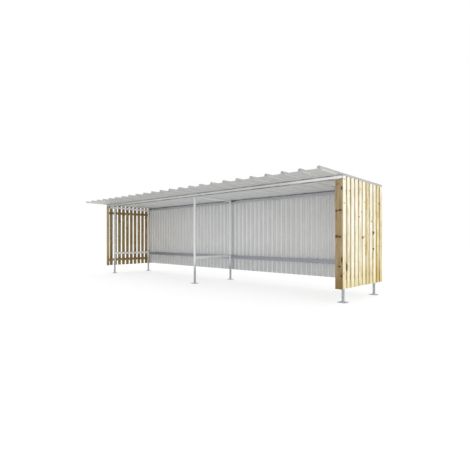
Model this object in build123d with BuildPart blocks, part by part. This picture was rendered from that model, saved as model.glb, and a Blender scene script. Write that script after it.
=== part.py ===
from build123d import *
import os
from math import atan2, cos, radians, sin, tan

# Open-fronted bike shelter: galvanised tube frames carry a ribbed sheet roof and a fluted sheet back, and
# each end is closed by upright timber slats. Millimetres. X runs along the shelter, the open front faces -Y
# and Z is up. The origin is on the ground, in the middle of the shelter's length and depth.

# Overall plan
bay_length = 4000
frame_names = ("left", "middle", "right")
post_span = 1260
wall_lead = 226
wall_depth = 1641
roof_front_overhang = 675
roof_rear_overhang = 35
verge_overhang = 100

# Roof plane: the height is the underside of the sheets above the front posts
roof_height = 2182
roof_pitch = 1.5

# Square steel tube of the frames
tube_size = 40
tube_wall = 3
tube_corner = 4
rafter_drop = 4
rafter_height = 40
end_rafter_drop = 48
end_rafter_height = 60
tie_height = 60
tie_level = 610

# Foot plates
plate_size = 150
plate_thickness = 8
plate_corner = 10
anchor_hole = 14
anchor_spacing = 110

# Lengthwise beams and rail, each in two lengths that meet at the middle frame
beam_width = 40
front_beam_height = 72
rear_beam_height = 80
rear_rail_height = 80
rear_rail_level = 570
splice_gap = 4
end_clearance = 2

# Roof sheets: wide pans between narrow upstanding ribs
roof_gauge = 1
rib_height = 42
rib_base = 62
rib_crown = 38
rib_flange = 12
rib_pitch_count = 23
pitches_per_sheet = 3

# Back sheets: shallow flutes that stand upright
back_gauge = 1
flute_depth = 20
flute_base = 78
flute_crown = 40
flute_flange = 10
back_sheet_count = 8
flutes_per_sheet = 7
back_bottom = 270
back_top_gap = 8

# Timber ends
slat_width = 95
slat_thickness = 28
slat_count = 11
slat_lead_left = 61
slat_lead_right = 2
slat_bottom = 254
slat_top_gap = 6
side_rail_thickness = 52
side_rail_height = 70
top_rail_drop = 292
low_rail_level = 400
front_board_width = 127
front_board_thickness = 22

# Places along the depth, from the front edge of the roof to its rear edge, which covers both the end walls
# and the back sheets
back_depth = wall_lead + post_span + tube_size / 2 + beam_width + flute_depth + back_gauge
roof_depth = roof_front_overhang + max(wall_depth, back_depth) + roof_rear_overhang
roof_front_y = -roof_depth / 2
wall_front_y = roof_front_y + roof_front_overhang
wall_rear_y = wall_front_y + wall_depth
front_post_y = wall_front_y + wall_lead
rear_post_y = front_post_y + post_span
back_steel_y = rear_post_y + tube_size / 2
back_sheet_y = back_steel_y + beam_width

# Places along the length
frame_x = dict(zip(frame_names, (-bay_length, 0, bay_length)))
steel_half_length = bay_length + tube_size / 2
slat_inner_x = steel_half_length + side_rail_thickness
slat_outer_x = slat_inner_x + slat_thickness
roof_half_length = bay_length + verge_overhang

slope = radians(roof_pitch)
roof_normal = (0, sin(slope), cos(slope))

# Rafters: those of the two end frames are deeper and sit lower than the middle one
rafter_drops = dict(zip(frame_names, (end_rafter_drop, rafter_drop, end_rafter_drop)))
rafter_heights = dict(zip(frame_names, (end_rafter_height, rafter_height, end_rafter_height)))


def roof_underside(y):
    """Height of the underside of the roof sheets at a depth."""
    return roof_height - (y - front_post_y) * tan(slope)


def below_roof(drop):
    """Plane parallel to the roof sheets and a vertical drop below them."""
    return Plane(origin=(0, front_post_y, roof_height - drop), x_dir=(1, 0, 0), z_dir=roof_normal)


def across_slope(x, y, drop):
    """Plane square to the roof's slope, facing up the slope, a vertical drop below the sheets."""
    origin = (x, y, roof_underside(y) - drop)
    return Plane(origin=origin, x_dir=(1, 0, 0), z_dir=(0, -cos(slope), sin(slope)))


def level_plane(*origin):
    """Plane for a sketch that is extruded upwards."""
    return Plane(origin=origin)


def front_plane(*origin):
    """Upright plane for a sketch that is extruded towards the open front."""
    return Plane(origin=origin, x_dir=(1, 0, 0), z_dir=(0, -1, 0))


def end_plane(*origin):
    """Upright plane for a sketch that is extruded along the shelter to the right."""
    return Plane(origin=origin, x_dir=(0, 1, 0), z_dir=(1, 0, 0))


def tube_section(width, height):
    """Cross-section of a welded square or oblong tube, inside a sketch."""
    RectangleRounded(width, height, tube_corner)
    inner_corner = tube_corner - tube_wall
    RectangleRounded(width - 2 * tube_wall, height - 2 * tube_wall, inner_corner, mode=Mode.SUBTRACT)


def save(piece, name):
    """Label a finished piece and write it out."""
    piece.label = name
    export_step(piece, f"parts/{name}.step")


os.makedirs("parts", exist_ok=True)

# Frames: two posts on foot plates, a rafter over them and a tie rail between them
post_rows = {"front": front_post_y, "rear": rear_post_y}
for frame, x in frame_x.items():
    rafter_top = rafter_drops[frame]
    rafter_rise = rafter_heights[frame] / cos(slope)
    for row, y in post_rows.items():
        with BuildPart() as base_plate:
            with BuildSketch(level_plane(x, y, 0)):
                RectangleRounded(plate_size, plate_size, plate_corner)
                with GridLocations(anchor_spacing, 0, 2, 1):
                    Circle(anchor_hole / 2, mode=Mode.SUBTRACT)
            extrude(amount=plate_thickness)
        save(base_plate.part, f"base_plate_{row}_{frame}")

        with BuildPart() as post:
            with BuildSketch(level_plane(x, y, plate_thickness)):
                tube_section(tube_size, tube_size)
            extrude(amount=roof_height)
            split(bisect_by=below_roof(rafter_top + rafter_rise), keep=Keep.BOTTOM)
        save(post.part, f"post_{row}_{frame}")

    with BuildPart() as rafter:
        with BuildSketch(across_slope(x, roof_front_y, rafter_top + rafter_rise / 2)):
            tube_section(tube_size, rafter_heights[frame])
        extrude(amount=-roof_depth)
        split(bisect_by=front_plane(x, wall_front_y + beam_width, 0), keep=Keep.BOTTOM)
        split(bisect_by=front_plane(x, back_steel_y, 0), keep=Keep.TOP)
    save(rafter.part, f"rafter_{frame}")

    tie_length = post_span - tube_size
    with BuildPart() as tie_rail:
        with BuildSketch(front_plane(x, rear_post_y - tube_size / 2, tie_level + tie_height / 2)):
            tube_section(tube_size, tie_height)
        extrude(amount=tie_length)
    save(tie_rail.part, f"tie_rail_{frame}")


def lengthwise_tubes(front_y, top, height, half_length):
    """Two tubes in line along the shelter, spliced at the middle frame."""
    with BuildPart() as tubes:
        for start in (-half_length, splice_gap / 2):
            with BuildSketch(end_plane(start, front_y + beam_width / 2, top - height / 2)):
                tube_section(beam_width, height)
        extrude(amount=half_length - splice_gap / 2)
    return tubes.part


front_beam_top = roof_underside(wall_front_y + beam_width)
front_beam_half = slat_outer_x - end_clearance
save(lengthwise_tubes(wall_front_y, front_beam_top, front_beam_height, front_beam_half), "front_beam")

rear_beam_top = roof_underside(back_sheet_y)
rear_half = steel_half_length - end_clearance
save(lengthwise_tubes(back_steel_y, rear_beam_top, rear_beam_height, rear_half), "rear_beam")

rear_rail_top = rear_rail_level + rear_rail_height
save(lengthwise_tubes(back_steel_y, rear_rail_top, rear_rail_height, rear_half), "rear_rail")


def ribbed_outline(centres, laps_left, lapped_right, gauge, height, base, crown, flange):
    """Corner points of a ribbed sheet's cross-section, its pans lying on the x axis.

    A sheet that laps its left neighbour rests its flange on the neighbour's pan. A sheet that is lapped on its
    right ends in a lip inside the neighbour's first rib.
    """
    flank_run = (base - crown) / 2
    flank_angle = atan2(height, flank_run)
    corner_shift = gauge * tan(flank_angle / 2)
    toe = gauge / tan(flank_angle)
    lower = []
    upper = []
    for centre in centres:
        left_foot = centre - base / 2
        left_crown = centre - crown / 2
        if lapped_right and centre == centres[-1]:
            lower.append((left_foot + toe + corner_shift, 0))
            lower.append((left_crown + corner_shift, height - gauge))
            lower.append((centre, height - gauge))
            upper.append((left_foot + toe, gauge))
            upper.append((left_crown, height))
            upper.append((centre, height))
            continue
        lift = gauge if laps_left and centre == centres[0] else 0
        foot_inset = toe if lift else 0
        if centre == centres[0]:
            lower.append((left_foot - flange, lift))
            upper.append((left_foot - flange, lift + gauge))
        lower.append((left_foot + foot_inset, lift))
        upper.append((left_foot + foot_inset - corner_shift, lift + gauge))
        lower.append((left_crown, height))
        upper.append((left_crown - corner_shift, height + gauge))
        lower.append((centre + crown / 2, height))
        upper.append((centre + crown / 2 + corner_shift, height + gauge))
        lower.append((centre + base / 2, 0))
        upper.append((centre + base / 2 + corner_shift, gauge))
        if centre == centres[-1]:
            lower.append((centre + base / 2 + flange, 0))
            upper.append((centre + base / 2 + flange, gauge))
    return lower + upper[::-1]


def ribbed_sheets(plane, length, half_width, pitches, step, gauge, height, base, crown, flange):
    """Lapped ribbed sheets side by side, drawn on a plane across their ribs and extruded along them."""
    first_centre = -half_width + flange + base / 2
    pitch = -2 * first_centre / pitches
    for first in range(0, pitches, step):
        last = min(first + step, pitches)
        centres = [first_centre + pitch * index for index in range(first, last + 1)]
        outline = ribbed_outline(centres, first > 0, last < pitches, gauge, height, base, crown, flange)
        with BuildPart() as sheet:
            with BuildSketch(plane):
                with BuildLine():
                    Polyline(*outline, close=True)
                make_face()
            extrude(amount=length)
        yield sheet.part


# Roof sheets, drawn across the slope at the rear edge and extruded up to the front edge
roof_rise = (rib_height + roof_gauge) * sin(slope)
roof_length = (roof_depth - roof_rise) / cos(slope)
roof_low_y = roof_front_y + roof_length * cos(slope)
roof_parts = ribbed_sheets(
    across_slope(0, roof_low_y, 0),
    roof_length,
    roof_half_length,
    rib_pitch_count,
    pitches_per_sheet,
    roof_gauge,
    rib_height,
    rib_base,
    rib_crown,
    rib_flange,
)
for number, sheet_part in enumerate(roof_parts, start=1):
    save(sheet_part, f"roof_sheet_{number}")

# Back sheets, drawn level with the ground and extruded upwards behind the rear beam and rail
back_top = roof_underside(back_sheet_y + flute_depth + back_gauge) - back_top_gap
back_parts = ribbed_sheets(
    level_plane(0, back_sheet_y, back_bottom),
    back_top - back_bottom,
    rear_half,
    back_sheet_count * flutes_per_sheet,
    flutes_per_sheet,
    back_gauge,
    flute_depth,
    flute_base,
    flute_crown,
    flute_flange,
)
for number, sheet_part in enumerate(back_parts, start=1):
    save(sheet_part, f"back_sheet_{number}")

# Timber ends: slats nailed to two rails that are bolted across the outside of the posts, and a front board
# that covers the edge of the wall. The leads are the clear distances from the front beam to the first slat.
slat_leads = {"left": slat_lead_left, "right": slat_lead_right}
front_board_top = front_beam_top - front_beam_height
side_rail_front = wall_front_y + front_board_thickness
side_rail_levels = {"top": roof_height - top_rail_drop, "low": low_rail_level}
for end, side in {"left": -1, "right": 1}.items():
    slat_x = side * (slat_inner_x + slat_thickness / 2)
    slat_front = wall_front_y + beam_width + slat_leads[end]
    slat_pitch = (wall_rear_y - slat_front - slat_width) / (slat_count - 1)
    slat_middle = (slat_front + wall_rear_y) / 2
    with BuildPart() as slats:
        with BuildSketch(level_plane(slat_x, slat_middle, slat_bottom)):
            with GridLocations(0, slat_pitch, 1, slat_count):
                Rectangle(slat_thickness, slat_width)
        extrude(amount=roof_height)
        split(bisect_by=below_roof(slat_top_gap), keep=Keep.BOTTOM)
    save(slats.part, f"side_slats_{end}")

    board_x = side * (slat_outer_x - front_board_width / 2)
    board_y = wall_front_y + front_board_thickness / 2
    with BuildPart() as front_board:
        with BuildSketch(level_plane(board_x, board_y, slat_bottom)):
            Rectangle(front_board_width, front_board_thickness)
        extrude(amount=front_board_top - slat_bottom)
    save(front_board.part, f"front_board_{end}")

    rail_x = side * (steel_half_length + side_rail_thickness / 2)
    for level_name, level in side_rail_levels.items():
        with BuildPart() as side_rail:
            with BuildSketch(front_plane(rail_x, wall_rear_y, level + side_rail_height / 2)):
                Rectangle(side_rail_thickness, side_rail_height)
            extrude(amount=wall_rear_y - side_rail_front)
        save(side_rail.part, f"side_rail_{level_name}_{end}")
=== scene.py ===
import math
import random

import bpy
from bpy.props import FloatProperty, FloatVectorProperty, PointerProperty
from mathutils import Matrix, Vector


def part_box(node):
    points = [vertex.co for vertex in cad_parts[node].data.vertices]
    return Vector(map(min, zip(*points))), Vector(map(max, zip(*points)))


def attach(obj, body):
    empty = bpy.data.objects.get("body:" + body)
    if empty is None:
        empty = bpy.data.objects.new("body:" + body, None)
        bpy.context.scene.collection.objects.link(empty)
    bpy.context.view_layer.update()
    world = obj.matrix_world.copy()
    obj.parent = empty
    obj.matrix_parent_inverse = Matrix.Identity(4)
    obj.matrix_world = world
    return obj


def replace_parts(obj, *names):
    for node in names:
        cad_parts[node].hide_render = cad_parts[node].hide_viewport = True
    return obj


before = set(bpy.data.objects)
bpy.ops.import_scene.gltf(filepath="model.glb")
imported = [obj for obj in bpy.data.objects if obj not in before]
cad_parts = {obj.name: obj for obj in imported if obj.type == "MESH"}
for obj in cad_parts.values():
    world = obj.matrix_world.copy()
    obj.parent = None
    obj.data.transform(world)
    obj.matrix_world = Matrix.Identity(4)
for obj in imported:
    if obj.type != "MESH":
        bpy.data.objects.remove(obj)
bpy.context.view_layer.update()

bl_info = {
    "name": "Bike shelter",
    "version": (1, 0, 0),
    "blender": (4, 5, 0),
    "location": "3D View > Sidebar > Shelter",
    "description": "Finishes an open steel bike shelter with zinc, pine and fixings",
    "category": "Object",
}

ENDS = {"left": -1, "right": 1}
FRAMES = ("left", "middle", "right")
ROWS = ("front", "rear")
RAIL_LEVELS = ("top", "low")
Y_AXIS = 1
Z_AXIS = 2
UP = Vector((0, 0, 1))

# Sizes and counts that the packed solids follow, in metres
ROOF_SLOPE = math.tan(math.radians(1.5))
ROOF_NORMAL = Vector((0, ROOF_SLOPE, 1)).normalized()
RIB_COUNT = 24
RIB_EDGE = 0.043
RIB_RISE = 0.039
FLUTE_COUNT = 57
FLUTE_EDGE = 0.049
BACK_GAUGE = 0.001

# Decimals of a metre to which the corners of the solids agree
SPAN_DIGITS = 5

# Outlines of the fixings from foot to tip: shares of a radius, and heights in metres
SCREW_WASHER = ((1, -0.0004), (1, 0.0008), (0.75, 0.002))
SCREW_FLANGE = ((1.25, 0.0016), (1.25, 0.0026), (1, 0.0031))
SCREW_HEAD = ((1, 0.003), (1, 0.0068), (0.86, 0.0074))
NUT_WASHER = ((1.45, -0.0004), (1.45, 0.0016), (1.4065, 0.002))
NUT = ((0.9, 0.0018), (1, 0.0026), (1, 0.0088), (0.9, 0.0096))
THREAD = ((0.5, 0.009), (0.5, 0.0135), (0.4, 0.0145))
NAIL_RIM_SHARE = 0.4
NAIL_CROWN_SHARE = 0.7

# Sides of the fixings' round and hexagonal parts, and the turn from one screw head to the next
HEXAGON = 6
NAIL_SIDES = 10
THREAD_SIDES = 14
SCREW_SIDES = 16
NUT_WASHER_SIDES = 20
SCREW_TURN = 0.7

# Zinc: runs of the streaks as scales along X, Y and Z, and roughness of bright and dull flakes
LENGTHWISE = (1.2, 14, 14)
CROSSWISE = (14, 1.2, 14)
UPRIGHT = (14, 14, 1.2)
ROOF_RUNS = (11, 0.9, 11)
BACK_RUNS = (26, 26, 0.5)
WELD_RUNS = (9, 9, 9)
FIXING_RUNS = (60, 60, 60)
TUBE_SHEEN = (0.26, 0.42)
ROOF_SHEEN = (0.42, 0.55)
BACK_SHEEN = (0.36, 0.48)
WELD_SHEEN = (0.36, 0.52)
FIXING_SHEEN = (0.25, 0.4)
NAIL_SHEEN = (0.4, 0.55)
FIXING_FLAKE = 0.002
NAIL_FADE = 0.75

# Splash: its reach above the ground and its share of the colour there
FAINT_SPLASH = (0.02, 0.2)
POST_SPLASH = (0.62, 0.92)
BACK_SPLASH = (1.1, 0.2)
BOARD_SPLASH = (0.45, 0.12)

# Shares of an accent's colour that its dull flakes keep
EVEN = 0.9
MOTTLED = 0.62

# Where the accents lie: least parts of a face's normal, fading to the left, and reaches in metres
FACING = 0.05
SLANTED = 0.3
FLUTE_FADE = 2.5
LEFT_POWER = 2.0
RIB_MOUTH = (0.06, 0.2)
BRIGHT_END_SHARES = (0.65, 0.85)
# Painted shade along the lengthwise beams' edges and at the rear beam's joints
FRONT_EDGE_SHADE = 0.026
REAR_EDGE_SHADE = 0.040
EDGE_PATCH_SCALE = 7.0
EDGE_PATCHES = (0.35, 0.6, 0.6, 1.0)
JOINT_SHADE = (0.09, 0.24, 1.0, 0.0)
JOINT_SHADE_RISE = (-0.02, 0.01)


# Settings that a user would change


def colour_prop(name, description, default):
    """A colour that a user can pick."""
    return FloatVectorProperty(
        name=name, description=description, default=default, subtype="COLOR", min=0, max=1
    )


def length_prop(name, description, default):
    """A length that a user can set, in metres."""
    return FloatProperty(name=name, description=description, default=default, unit="LENGTH")


def angle_prop(name, description, default):
    """An angle that a user can set, in radians."""
    return FloatProperty(name=name, description=description, default=default, subtype="ANGLE")


def number_prop(name, description, default):
    """A plain number that a user can set."""
    return FloatProperty(name=name, description=description, default=default)


class ShelterTimber(bpy.types.PropertyGroup):
    """Pine of the end walls."""

    sapwood: colour_prop("Sapwood", "Palest board colour", (0.965, 0.935, 0.775))
    heartwood: colour_prop("Heartwood", "Warmest board colour", (0.60, 0.45, 0.15))
    late_ring: colour_prop("Late rings", "Dark lines of the grain", (0.52, 0.36, 0.14))
    knot: colour_prop("Knots", "Heart of a knot", (0.085, 0.04, 0.016))
    small_halo: colour_prop("Small halos", "Ring round a small knot", (0.40, 0.215, 0.075))
    large_halo: colour_prop("Large halos", "Ring round a large knot", (0.30, 0.165, 0.06))
    # Darker colour over the boards' sawn ends; on the slats' inner faces and narrow edges it is painted
    # shade
    sawn_shade: colour_prop("Sawn faces and shade", "Shade over rough-sawn faces", (0.48, 0.42, 0.31))
    splash: colour_prop("Splash", "Dried splash low on the boards", (0.33, 0.27, 0.19))
    # The front boards darken toward this colour as painted shade; the rails darken toward it too
    darker_pine: colour_prop("Darker pine", "Shade over the darkest boards", (0.26, 0.167, 0.03))
    slat_foot: colour_prop("Slat feet", "Stain over the slats' feet", (0.906, 0.844, 0.58))
    front_foot: colour_prop("Front feet", "Stain over the front boards' feet", (0.58, 0.465, 0.24))
    arris: length_prop("Arris", "Radius of the planed edges", 0.003)
    planing: length_prop("Planing", "Thickness that planing and bow take off each face", 0.0008)
    saw_scatter: length_prop("Saw scatter", "Most that a slat is sawn short at its foot", 0.005)


class ShelterZinc(bpy.types.PropertyGroup):
    """Galvanised steel of the frames and the sheets."""

    tube_bright: colour_prop("Tube, bright", "Bright flakes of the tubes", (0.96, 0.965, 0.97))
    tube_dull: colour_prop("Tube, dull", "Dull flakes of the tubes", (0.85, 0.86, 0.88))
    roof_bright: colour_prop("Roof, bright", "Bright flakes of the roof", (0.685, 0.69, 0.675))
    roof_dull: colour_prop("Roof, dull", "Dull flakes of the roof", (0.605, 0.61, 0.6))
    back_bright: colour_prop("Back, bright", "Bright flakes of the back", (0.69, 0.70, 0.695))
    back_dull: colour_prop("Back, dull", "Dull flakes of the back", (0.53, 0.54, 0.54))
    rail_bright: colour_prop("Rail, bright", "Bright flakes of the rear rail", (0.36, 0.375, 0.41))
    rail_dull: colour_prop("Rail, dull", "Dull flakes of the rear rail", (0.28, 0.295, 0.325))
    rear_beam_bright: colour_prop(
        "Rear beam, bright", "Bright flakes of the rear beam", (0.53, 0.543, 0.575)
    )
    rear_beam_dull: colour_prop("Rear beam, dull", "Dull flakes of the rear beam", (0.42, 0.433, 0.465))
    # Painted light on the roof's underside behind the front beam and on the left end of the back, inside
    inner_painted_light: colour_prop(
        "Inner painted light",
        "Roof behind the front beam and left end of the back, inside, where rain never comes",
        (0.84, 0.845, 0.84),
    )
    # Painted light on the insides of the roof's ribs and on the slanted sides of the back's flutes
    side_painted_light: colour_prop(
        "Side painted light", "Rib and flute sides that the forming rolls rubbed bright", (0.96, 0.965, 0.96)
    )
    rain_dulled: colour_prop(
        "Rain-dulled zinc", "Top of the roof sheets and outside of the back sheets", (0.56, 0.565, 0.56)
    )
    # Near-black painted shade along the edges of the lengthwise beams and at the rear beam's joints
    edge_shade: colour_prop(
        "Edge shade",
        "Dirt along the edges of the lengthwise beams and at the rear beam's joints",
        (0.05, 0.052, 0.056),
    )
    # Painted shade on the front beam: a lighter grey over all but its bright right end, and a darker one
    # toward its left end
    end_painted_shade: colour_prop(
        "Shaded end", "Left end of the front beam, which has weathered most", (0.48, 0.485, 0.48)
    )
    beam_painted_shade: colour_prop(
        "Shaded beam", "Front beam, all but its bright right end", (0.76, 0.765, 0.765)
    )
    nail_grey: colour_prop("Nails", "Dulled zinc of the nail heads", (0.46, 0.42, 0.35))
    foot_dull: colour_prop("Feet, dull", "Weathered zinc near the ground", (0.19, 0.20, 0.215))
    tube_flake: length_prop("Tube flake", "Width of a zinc flake on the tubes", 0.007)
    sheet_flake: length_prop("Sheet flake", "Width of a zinc flake on the sheets", 0.014)


class ShelterFixings(bpy.types.PropertyGroup):
    """Nails, screws, bolts and welds."""

    nail_radius: length_prop("Nail head", "Radius of a nail head", 0.0042)
    nail_height: length_prop("Nail height", "Rise of a nail head", 0.0008)
    nail_margin: length_prop("Nail margin", "Distance of a nail from the slat's edge", 0.024)
    washer_radius: length_prop("Screw washer", "Radius of a screw's washer", 0.0095)
    screw_radius: length_prop("Screw head", "Radius over a screw head's corners", 0.0062)
    nut_radius: length_prop("Nut", "Radius over a bolt nut's corners", 0.0104)
    weld_leg: length_prop("Weld leg", "Leg of the fillet welds", 0.005)


class ShelterStage(bpy.types.PropertyGroup):
    """Floor, light and camera."""

    key_strength: number_prop("Key", "Strength of the soft key light from the right", 0.7)
    key_azimuth: angle_prop("Key azimuth", "Turn of the key light from front to right", math.radians(80))
    key_elevation: angle_prop(
        "Key elevation", "Height of the key light above the horizon", math.radians(32)
    )
    key_softness: angle_prop("Key softness", "Angle that the key light fills", math.radians(28))
    sky_strength: number_prop("Sky", "Strength of the even light from all round", 1.0)
    floor_colour: colour_prop("Floor", "Colour of the floor", (0.95, 0.95, 0.95))
    floor_glow: number_prop("Floor glow", "White that the camera sees in the floor's shadows", 0.72)
    floor_shade: number_prop("Floor shade", "Share of the floor's light that the camera sees", 0.3)
    camera_place: FloatVectorProperty(
        name="Camera place",
        description="Where the camera stands",
        subtype="TRANSLATION",
        unit="LENGTH",
        default=(7.161, -6.2645, 1.115),
    )
    camera_turn: angle_prop("Camera turn", "Turn of the level camera to the left of straight back", 0.767)
    camera_lens: number_prop("Lens", "Focal length in millimetres on a 36 mm sensor", 28.63)
    camera_rise: number_prop("Camera rise", "Upward shift of the picture, as a share of its width", 0.0072)


SETTINGS = {
    "shelter_timber": ShelterTimber,
    "shelter_zinc": ShelterZinc,
    "shelter_fixings": ShelterFixings,
    "shelter_stage": ShelterStage,
}


# Shader helpers

# Places of a Mix node's two inputs and its result, whose names repeat
MIX_SOCKETS = {"RGBA": (6, 7, 2), "VECTOR": (4, 5, 1)}


class Graph:
    """A node tree with short calls for adding, setting and linking nodes."""

    def __init__(self, tree):
        self.tree = tree

    def add(self, kind, sockets=None, **settings):
        """Add a node, set its options and feed its sockets with values or other sockets."""
        node = self.tree.nodes.new("ShaderNode" + kind)
        for name, value in settings.items():
            setattr(node, name, value)
        for name, value in (sockets or {}).items():
            self.feed(node.inputs[name], value)
        return node

    def feed(self, socket, value):
        """Link another socket in, or set a plain value."""
        if isinstance(value, bpy.types.NodeSocket):
            self.tree.links.new(value, socket)
        elif socket.type == "RGBA" and len(value) == 3:
            socket.default_value = (*value, 1)
        else:
            socket.default_value = value

    def math(self, operation, first, second=0.0, clamp=False):
        """Result of one sum."""
        node = self.add("Math", operation=operation, use_clamp=clamp)
        self.feed(node.inputs[0], first)
        self.feed(node.inputs[1], second)
        return node.outputs[0]

    def times(self, first, second, clamp=False):
        """One value times another."""
        return self.math("MULTIPLY", first, second, clamp)

    def weigh(self, first, second, share):
        """Sum of a share of one value and the rest of another."""
        return self.math("ADD", self.times(first, share), self.times(second, 1 - share))

    def vector(self, operation, first, second):
        """Result of one sum of vectors."""
        node = self.add("VectorMath", operation=operation)
        self.feed(node.inputs[0], first)
        self.feed(node.inputs[1], second)
        return node.outputs["Value"] if operation == "LENGTH" else node.outputs[0]

    def mix(self, factor, first, second, blend="MIX", kind="RGBA"):
        """Blend of two colours or two vectors."""
        node = self.add("Mix", data_type=kind, blend_type=blend)
        first_place, second_place, result = MIX_SOCKETS[kind]
        self.feed(node.inputs[0], factor)
        self.feed(node.inputs[first_place], first)
        self.feed(node.inputs[second_place], second)
        return node.outputs[result]

    def spread(self, value, low, high, to_low=0.0, to_high=1.0, smooth=False):
        """Value moved from one range to another and held there."""
        node = self.add("MapRange", interpolation_type="SMOOTHSTEP" if smooth else "LINEAR")
        for index, number in enumerate((value, low, high, to_low, to_high)):
            self.feed(node.inputs[index], number)
        return node.outputs[0]

    def noise(self, place, scale, detail=3.0, roughness=0.55):
        """Soft random value from 0 to 1."""
        sockets = {"Vector": place, "Scale": scale, "Detail": detail, "Roughness": roughness}
        return self.add("TexNoise", sockets).outputs["Fac"]

    def run_noise(self, place, scales, detail=2.0, roughness=0.55):
        """Soft random value drawn out along the axes of smallest scale."""
        return self.noise(self.vector("MULTIPLY", place, scales), 1.0, detail, roughness)

    def place(self):
        """A point of the shelter."""
        return self.add("TexCoord").outputs["Object"]

    def place_parts(self):
        """X, Y and Z of a point of the shelter."""
        return self.add("SeparateXYZ", {"Vector": self.place()}).outputs

    def facing_parts(self):
        """X, Y and Z of the way that a face looks."""
        return self.add("SeparateXYZ", {"Vector": self.add("NewGeometry").outputs["True Normal"]}).outputs

    def stored(self, name, output="Fac"):
        """What a mesh holds under a name."""
        return self.add("Attribute", attribute_name=name).outputs[output]

    def first_part(self, colour):
        """Red part of a random colour, as a random value."""
        return self.add("SeparateColor", {"Color": colour}).outputs[0]

    def relief(self, shader, depth, height):
        """Bump a shader's surface."""
        bump = self.add("Bump", {**depth, "Height": height})
        self.feed(shader.inputs["Normal"], bump.outputs[0])

    def seen(self):
        """1 where the camera sees a thing, straight, mirrored or through glass."""
        path = self.add("LightPath").outputs
        straight = self.math("MAXIMUM", path["Is Camera Ray"], path["Is Glossy Ray"])
        return self.math("MAXIMUM", straight, path["Is Transmission Ray"])


def shared_group(name, inputs, outputs, fill):
    """A shader node group, built on its first use."""
    tree = bpy.data.node_groups.get(name)
    if tree:
        return tree
    tree = bpy.data.node_groups.new(name, "ShaderNodeTree")
    for label, kind in inputs.items():
        tree.interface.new_socket(name=label, in_out="INPUT", socket_type="NodeSocket" + kind)
    for label in outputs:
        tree.interface.new_socket(name=label, in_out="OUTPUT", socket_type="NodeSocketFloat")
    graph = Graph(tree)
    entry = tree.nodes.new("NodeGroupInput")
    leave = tree.nodes.new("NodeGroupOutput")
    for label, socket in fill(graph, entry.outputs).items():
        graph.feed(leave.inputs[label], socket)
    return tree


# Zinc flakes: how far their edges bend, and the parts of flake, cloud and streak in their tone
FLAKE_BEND_SCALE = 0.6
FLAKE_BEND = 0.02
FLAKE_SHARE = 0.5
CLOUD_SCALE = 2.3
CLOUD_SHARE = 0.45
CAST_RANGE = (0.32, 0.68)
DULLNESS_RANGE = 0.8


def fill_zinc_flakes(graph, given):
    """Spangle of hot-dip zinc: flat flakes of differing brightness, run streaks and soft dull clouds."""
    place = graph.place()
    flake_scale = graph.math("DIVIDE", 1.0, given["Flake Size"])
    bend_scale = graph.times(flake_scale, FLAKE_BEND_SCALE)
    wander = graph.add("TexNoise", {"Vector": place, "Scale": bend_scale}).outputs["Color"]
    bent = graph.mix(FLAKE_BEND, place, wander, kind="VECTOR")
    flakes = graph.add("TexVoronoi", {"Vector": bent, "Scale": flake_scale, "Randomness": 1.0})
    flake = graph.first_part(flakes.outputs["Color"])
    cloud = graph.noise(place, CLOUD_SCALE, detail=4.0)
    streak = graph.run_noise(place, given["Streak Scale"], detail=3.0, roughness=0.6)
    soft = graph.spread(graph.weigh(cloud, streak, CLOUD_SHARE), *CAST_RANGE)
    tone = graph.weigh(flake, soft, FLAKE_SHARE)
    dullness = graph.math("SUBTRACT", 1.0, graph.times(tone, DULLNESS_RANGE))
    return {"Tone": tone, "Dullness": dullness, "Relief": flakes.outputs["Distance"]}


def zinc_flakes():
    """The zinc group, shared by the tubes, the sheets and the fixings."""
    inputs = {"Flake Size": "Float", "Streak Scale": "Vector"}
    return shared_group("zinc_flakes", inputs, ("Tone", "Dullness", "Relief"), fill_zinc_flakes)


# Ground splash: its spots, and the share of its reach over which it fades
SPLASH_SPOT_SCALE = 38.0
SPLASH_SPOTS = (0.42, 0.66, 0.6, 1.0)
SPLASH_FADE_SHARE = 0.6


def fill_ground_splash(graph, given):
    """Dried splash that fades with height above the ground."""
    height = graph.place_parts()["Z"]
    low = graph.math("SUBTRACT", 1.0, graph.math("DIVIDE", height, given["Reach"]), clamp=True)
    spots = graph.noise(graph.place(), SPLASH_SPOT_SCALE, detail=5.0, roughness=0.65)
    soft = graph.spread(low, 0.0, SPLASH_FADE_SHARE, smooth=True)
    return {"Mask": graph.times(soft, graph.spread(spots, *SPLASH_SPOTS))}


def ground_splash():
    """The splash group, shared by everything that comes near the ground."""
    return shared_group("ground_splash", {"Reach": "Float"}, ("Mask",), fill_ground_splash)


# Pine figure: distances from a knot in its radii, and scales across, through and along a board
KNOT_LUCK = (0.45, 1.0, 0.05, 1.2)
KNOT_EDGE = (0.75, 1.1, 1.0, 0.0)
HALO_EDGE = (1.0, 2.6, 1.0, 0.0)
BEND_EDGE = (0.0, 4.0, 1.0, 0.0)
BEND = 0.012
SWAY = 0.05
SWAY_SCALES = (9.0, 9.0, 0.9)
RING_DEPTH = 2.5
RING_EDGE = (-0.2, 1.0)
FIBRE_SCALES = (520.0, 520.0, 11.0)
BAND_SCALES = (22.0, 22.0, 0.8)
BANDING = (0.36, 0.64, -0.36, 0.36)
BLOTCH_SCALES = (26.0, 26.0, 5.0)
BLOTCHES = (0.34, 0.66, -0.3, 0.3)


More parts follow.
